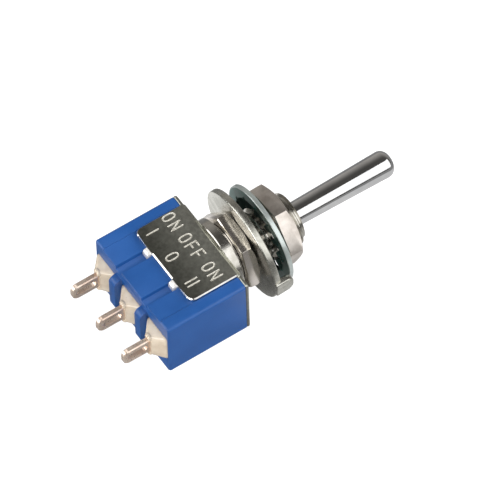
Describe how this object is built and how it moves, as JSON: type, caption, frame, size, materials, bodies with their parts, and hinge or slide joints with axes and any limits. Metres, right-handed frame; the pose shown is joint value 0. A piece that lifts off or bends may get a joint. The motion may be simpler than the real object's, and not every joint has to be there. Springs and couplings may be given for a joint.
{
  "type": "toggle switch",
  "caption": "Miniature panel-mount toggle switch: a tapered chrome lever in a threaded bushing with nuts and washers, a folded steel frame over a blue case, and slotted solder lugs.",
  "frame": {"origin": "on the bushing's axis, in the plane where the back of a panel seats on the locating washer", "axes": "+Z along the bushing towards the lever's tip; X along the row of solder lugs, the way the lever swings; -Y out of the marked side"},
  "size_m": [0.0134, 0.0124, 0.0355],
  "materials": {
    "case_blue": "moulded, satin gloss",
    "frame_nickel": "nickel plated, fine grain",
    "bushing_nickel": "bright nickel plate, turned",
    "lever_chrome": "polished chrome plate",
    "pin_steel": "ground",
    "plunger_acetal": "natural acetal",
    "spring_steel": "drawn music wire",
    "rocker_silver": "silver-plated brass strip",
    "contact_silver": "fine silver, satin",
    "terminal_silver": "silver-plated brass, slightly dulled",
    "seal_epoxy": "cast epoxy, satin",
    "nut_nickel": "bright nickel plate",
    "washer_steel": "nickel plated, tumbled",
    "washer_passivated": "green-passivated zinc plate"
  },
  "bodies": {
    "base": {"case": "case_blue", "frame": "frame_nickel", "bushing": "bushing_nickel", "left_terminal": "terminal_silver", "centre_terminal": "terminal_silver", "right_terminal": "terminal_silver", "left_terminal_seal": "seal_epoxy", "centre_terminal_seal": "seal_epoxy", "right_terminal_seal": "seal_epoxy", "left_fixed_button": "contact_silver", "right_fixed_button": "contact_silver", "inner_nut": "nut_nickel", "outer_nut": "nut_nickel", "locating_washer": "washer_steel", "lock_washer": "washer_passivated"},
    "handle": {"lever": "lever_chrome", "pivot_pin": "pin_steel", "plunger_spring": "spring_steel"},
    "follower": {"plunger": "plunger_acetal"},
    "contact_rocker": {"rocker": "rocker_silver", "left_rocker_button": "contact_silver", "right_rocker_button": "contact_silver"}
  },
  "joints": [
    {"name": "lever_swing", "type": "hinge", "parent": "base", "child": "handle", "pos_m": [0, 0, 0.00135], "axis": [0, 1, 0], "range_deg": [-12.5, 12.5]},
    {"name": "plunger_slide", "type": "slide", "parent": "handle", "child": "follower", "axis": [0, 0, 1], "range_m": [0, 0.0006], "stiffness_N_per_m": 400, "springref_m": -0.0025, "deforming": ["plunger_spring"]},
    {"name": "rocker_tilt", "type": "hinge", "parent": "base", "child": "contact_rocker", "pos_m": [0, 0, -0.01035], "axis": [0, 1, 0], "range_deg": [-6.05, 6.05]}
  ],
  "couplings": [
    {"joint": "rocker_tilt", "follows": "lever_swing", "ratio": -0.48}
  ]
}
